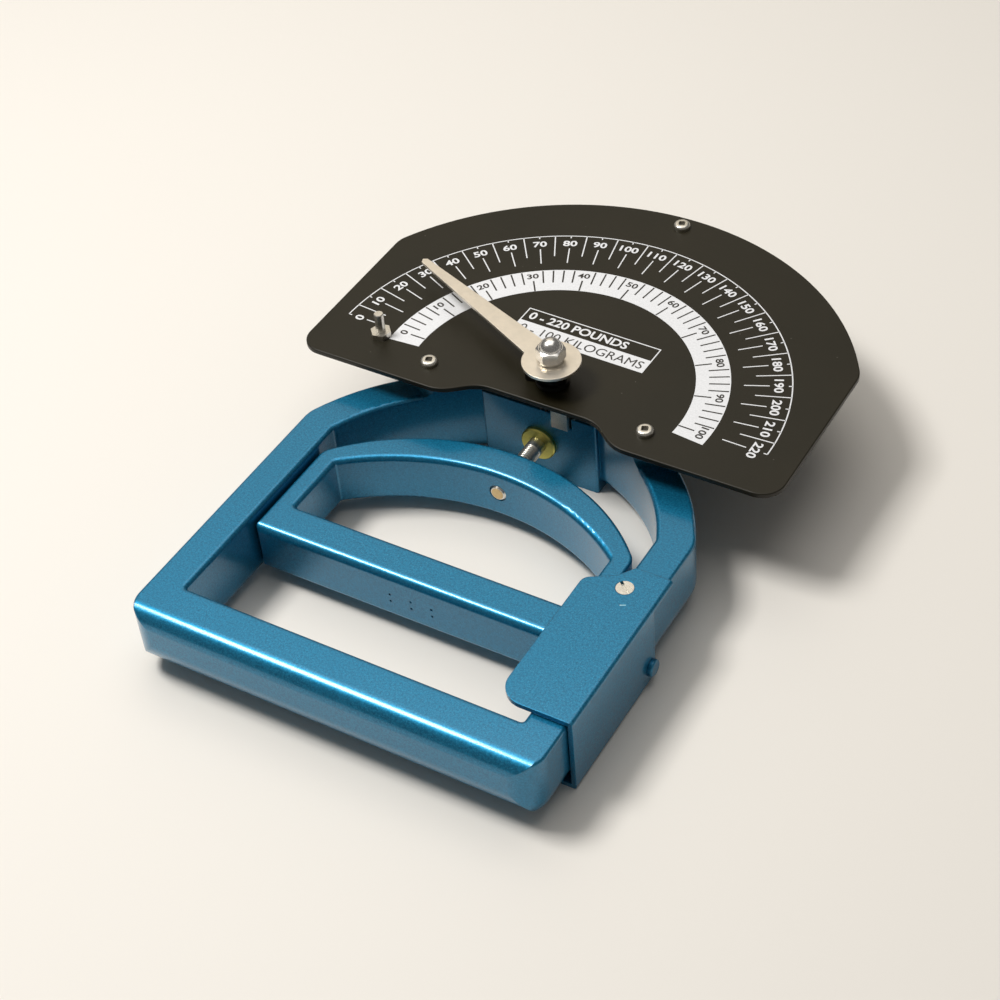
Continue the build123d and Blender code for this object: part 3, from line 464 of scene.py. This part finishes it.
def print_legend():
    """The two units: white letters in an outlined box, over dark letters in a white one."""
    turn = radians(ZERO_ANGLE - 180)

    def at(x, y):
        return SCALE_MIDDLE + Matrix.Rotation(turn, 3, "Z") @ Vector((x, y, 0))

    def box(bm, left, right, low, high):
        slab(bm, (at(left, low), at(right, low), at(right, high), at(left, high)), INK_SINK, INK_RISE)

    bm = bmesh.new()
    box(bm, LEGEND_LEFT, LEGEND_RIGHT, LEGEND_LOW, LEGEND_MIDDLE)
    box(bm, LEGEND_LEFT, LEGEND_RIGHT, LEGEND_HIGH - LINE, LEGEND_HIGH)
    box(bm, LEGEND_LEFT, LEGEND_LEFT + LINE, LEGEND_MIDDLE, LEGEND_HIGH - LINE)
    box(bm, LEGEND_RIGHT - LINE, LEGEND_RIGHT, LEGEND_MIDDLE, LEGEND_HIGH - LINE)
    lettering(bm, f"0 - {FULL_POUNDS} POUNDS",
              at(LEGEND_TEXT_LEFT + POUNDS_TEXT_W / 2, (LEGEND_MIDDLE + LEGEND_HIGH) / 2),
              LEGEND_TEXT_H, turn, POUNDS_TEXT_W)
    print_piece(bm, "print_legend_white", "white_ink")
    bm = bmesh.new()
    lettering(bm, "0 - 100 KILOGRAMS",
              at(LEGEND_TEXT_LEFT + KILOGRAMS_TEXT_W / 2, (LEGEND_LOW + LEGEND_MIDDLE) / 2),
              LEGEND_TEXT_H, turn, KILOGRAMS_TEXT_W, rise=2 * INK_RISE, bold=0.0)
    print_piece(bm, "print_legend_dark", "black_ink")


print_pounds()
print_kilograms()
print_legend()


# ---------------------------------------------------------------- draw rod with cut threads
THREAD_PITCH, THREAD_DEPTH = 0.8 * MM, 0.42 * MM
THREAD_FRONT_LENGTH, THREAD_BACK_LENGTH = 19.0 * MM, 13.0 * MM
GROOVE_HALF = 0.42              # half width of the groove, in pitches
ROD_SIDES, STEPS_PER_TURN = 36, 8
ROD_CHAMFER = 0.4 * MM
TIP_MARGIN, TIP_THICK = 0.75 * MM, 0.06 * MM


def lathe(bm, rings):
    """Closed skin over a run of rings, all with the same number of points, capped at both ends."""
    loops = [[bm.verts.new(p) for p in ring] for ring in rings]
    for near, far in zip(loops, loops[1:]):
        for k in range(len(near)):
            bm.faces.new((near[k - 1], near[k], far[k], far[k - 1]))
    bm.faces.new(loops[0])
    bm.faces.new(loops[-1])


def circle(middle, y, radius):
    """Ring of points round an axis along Y."""
    turns = [2 * pi * k / ROD_SIDES for k in range(ROD_SIDES)]
    return [(middle.x + radius * sin(turn), y, middle.z + radius * cos(turn)) for turn in turns]


def make_draw_rod():
    """Rod along Y with a screw thread at both ends and chamfered tips."""
    low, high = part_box("draw_rod")
    middle = (low + high) / 2
    radius = (high.x - low.x) / 2
    chamfer = ROD_CHAMFER

    def ring(y, threaded):
        """Ring across the thread, whose depth is scaled by threaded."""
        points = []
        for k in range(ROD_SIDES):
            turn = k / ROD_SIDES
            phase = (y / THREAD_PITCH - turn) % 1
            groove = THREAD_DEPTH * max(0, 1 - abs(phase - 0.5) / GROOVE_HALF) * threaded
            r = radius - groove
            points.append((middle.x + r * sin(2 * pi * turn), y, middle.z + r * cos(2 * pi * turn)))
        return points

    step = THREAD_PITCH / STEPS_PER_TURN
    rings = [circle(middle, low.y + 0.03 * MM, radius - 2 * chamfer),
             circle(middle, low.y + 0.08 * MM, radius - 1.3 * chamfer),
             circle(middle, low.y + chamfer, radius - THREAD_DEPTH / 2)]
    y = low.y + chamfer + step
    while y < low.y + THREAD_FRONT_LENGTH:
        rings.append(ring(y, min(1, (low.y + THREAD_FRONT_LENGTH - y) / THREAD_PITCH)))
        y += step
    y = high.y - THREAD_BACK_LENGTH
    while y < high.y - chamfer:
        rings.append(ring(y, min(1, (y - high.y + THREAD_BACK_LENGTH) / THREAD_PITCH)))
        y += step
    rings.append(circle(middle, high.y, radius - 2 * chamfer))
    bm = bmesh.new()
    lathe(bm, rings)
    stand_for(piece_from(bm, "draw_rod_threaded", SLOT_OF["draw_rod"]), "draw_rod")


def make_rod_tip():
    """Tan flat on the front end of the rod, a painted warm reflection on its end face."""
    low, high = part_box("draw_rod")
    middle = (low + high) / 2
    radius = (high.x - low.x) / 2 - TIP_MARGIN
    bm = bmesh.new()
    lathe(bm, [circle(middle, y, radius) for y in (low.y, low.y + TIP_THICK)])
    piece = piece_from(bm, "rod_tip", "warm_reflection_tan")
    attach(piece, BODY_OF["draw_rod"])


make_draw_rod()
make_rod_tip()

# ---------------------------------------------------------------- main spring
WIRE_R, SPRING_TURNS, SPRING_SIDES, SPRING_STEPS = 1.65 * MM, 10.6, 14, 40
CLOSED_TURNS, CLOSED_PITCH = 0.9, 0.55  # length of an end turn, and its pitch to the others'


def make_spring():
    """Compression spring along Y with a closed turn at each end. The real one shortens towards its front
    end; this piece stays fixed to the root.
    """
    low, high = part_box("main_spring")
    middle = (low + high) / 2
    coil_r = (high.x - low.x) / 2 - WIRE_R
    length = high.y - low.y - 2 * WIRE_R
    turns = SPRING_TURNS + 1
    count = round(turns * SPRING_STEPS)

    def advance(share):
        """Share of the length gained at a share of the turns; slow in the end turns."""
        t = share * turns
        ends = CLOSED_TURNS * CLOSED_PITCH
        if t < CLOSED_TURNS:
            return CLOSED_PITCH * t
        if t > turns - CLOSED_TURNS:
            return ends + (turns - 2 * CLOSED_TURNS) + CLOSED_PITCH * (t - turns + CLOSED_TURNS)
        return ends + (t - CLOSED_TURNS)

    total = advance(1)
    rings = []
    for k in range(count + 1):
        angle = 2 * pi * turns * k / count
        radial = Vector((sin(angle), 0, cos(angle)))
        y = low.y + WIRE_R + length * advance(k / count) / total
        centre = Vector((middle.x, y, middle.z)) + radial * coil_r
        ring = []
        for side in range(SPRING_SIDES):
            around = 2 * pi * side / SPRING_SIDES
            ring.append(centre + radial * WIRE_R * cos(around) + Vector((0, 1, 0)) * WIRE_R * sin(around))
        rings.append(ring)
    bm = bmesh.new()
    lathe(bm, rings)
    piece = piece_from(bm, "main_spring_coil", SLOT_OF["main_spring"], smooth_angle=50)
    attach(piece, "root")
    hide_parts("main_spring")
    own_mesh(piece)


make_spring()


# ---------------------------------------------------------------- painted shade, painted highlights and a spot
DIAL_SCREW_PLACES = ((-34.5, -7.4), (31.5, -7.4), (0.0, 76.9))      # millimetres from the pivot
RECESS_SIDE, RECESS_TURN, RECESS_FLOOR = 1.76 * MM, 20.0, 0.7 * MM
CLIP_SPOT_X, CLIP_SPOT_Y = 51.8 * MM, -58.8 * MM
CLIP_SPOT_LENGTH, CLIP_SPOT_WIDTH, CLIP_SPOT_TURN = 1.5 * MM, 0.35 * MM, 25
BLOCK_FRONT = -4.6 * MM
GROOVE_HIGHLIGHT_LENGTH, GROOVE_HIGHLIGHT_WIDTH, GROOVE_HIGHLIGHT_TURN = 0.9 * MM, 0.5 * MM, 8


def patch(name, material, body, middle, length, width, turn):
    """Thin flat patch on a surface that faces up."""
    along = Vector((cos(radians(turn)), sin(radians(turn)), 0)) * length / 2
    aside = Vector((-sin(radians(turn)), cos(radians(turn)), 0)) * width / 2
    bm = bmesh.new()
    corners = [middle + u * along + v * aside for u, v in ((-1, -1), (1, -1), (1, 1), (-1, 1))]
    slab(bm, corners, INK_SINK, INK_RISE)
    piece = piece_from(bm, name, material)
    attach(piece, body)


def wear():
    """Painted shade in the recesses of the dial screws, a lighter spot on the clip's flange and painted
    highlights beside the rack.
    """
    for number, (x, y) in enumerate(DIAL_SCREW_PLACES):
        # Painted shade: a dark patch on the floor of each dial screw's recess.
        patch(f"painted_recess_shade_{number}", "shade_ink", "root",
              PIVOT + Vector((x * MM, y * MM, RECESS_FLOOR)), RECESS_SIDE, RECESS_SIDE, RECESS_TURN)
    clip_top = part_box("guide_clip")[1].z
    # A lighter blue spot on the clip's flange.
    patch("clip_pale_spot", "pale_spot_and_highlight_ink", BODY_OF["guide_clip"],
          Vector((PIVOT.x + CLIP_SPOT_X, PIVOT.y + CLIP_SPOT_Y, clip_top)), CLIP_SPOT_LENGTH, CLIP_SPOT_WIDTH, CLIP_SPOT_TURN)
    rack_low, rack_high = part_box("rack")
    block_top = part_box("dial_spacer")[0].z
    front = PIVOT.y + BLOCK_FRONT + GROOVE_HIGHLIGHT_LENGTH / 2
    # Painted highlights: pale patches on the block's top on each side of the rack.
    for name, x in (("left", rack_low.x - 0.65 * MM), ("right", rack_high.x + 0.9 * MM)):
        patch(f"groove_highlight_{name}", "pale_spot_and_highlight_ink", "root",
              Vector((x, front, block_top)), GROOVE_HIGHLIGHT_LENGTH, GROOVE_HIGHLIGHT_WIDTH, GROOVE_HIGHLIGHT_TURN)


wear()


# ---------------------------------------------------------------- floor and light
def make_floor():
    """Plain pale floor under the instrument."""
    bm = bmesh.new()
    bmesh.ops.create_circle(bm, cap_ends=True, segments=96, radius=4)
    mesh = bpy.data.meshes.new("floor")
    bm.to_mesh(mesh)
    bm.free()
    floor = bpy.data.objects.new("floor", mesh)
    bpy.context.scene.collection.objects.link(floor)
    s = Surface("floor", Roughness=0.6)
    s.set(Base_Color=s.mix(s.noise(0.3), (0.80, 0.77, 0.72), (0.82, 0.79, 0.74)))
    mesh.materials.append(s.material)
    floor.location.z = cad_low.z


def make_light(name, azimuth, elevation, distance, size, radiance, colour):
    """Square soft light that faces the object. Its power follows from its size and radiance."""
    data = bpy.data.lights.new(name, "AREA")
    data.size = size
    data.energy = radiance * pi * size**2
    data.color = colour
    light = bpy.data.objects.new(name, data)
    bpy.context.scene.collection.objects.link(light)
    out = direction(azimuth, elevation)
    light.location = CAMERA_AIM + out * distance
    light.rotation_mode = "QUATERNION"
    light.rotation_quaternion = (-out).to_track_quat("-Z", "Y")


def make_world():
    """Even, dim and slightly warm light from all round."""
    world = bpy.data.worlds.new("room")
    world.use_nodes = True
    bpy.context.scene.world = world
    background = world.node_tree.nodes["Background"]
    background.inputs["Color"].default_value = (1.0, 0.97, 0.93, 1)
    background.inputs["Strength"].default_value = 0.16


WARM_WHITE, AMBER_WHITE = (1.0, 0.98, 0.95), (1.0, 0.90, 0.74)

make_floor()
make_world()
make_light("key", azimuth=-75, elevation=62, distance=0.95, size=0.28, radiance=29, colour=WARM_WHITE)
make_light("top", azimuth=200, elevation=78, distance=1.3, size=1.2, radiance=1.25, colour=WARM_WHITE)
make_light("back", azimuth=214, elevation=40, distance=1.2, size=0.8, radiance=0.62, colour=AMBER_WHITE)
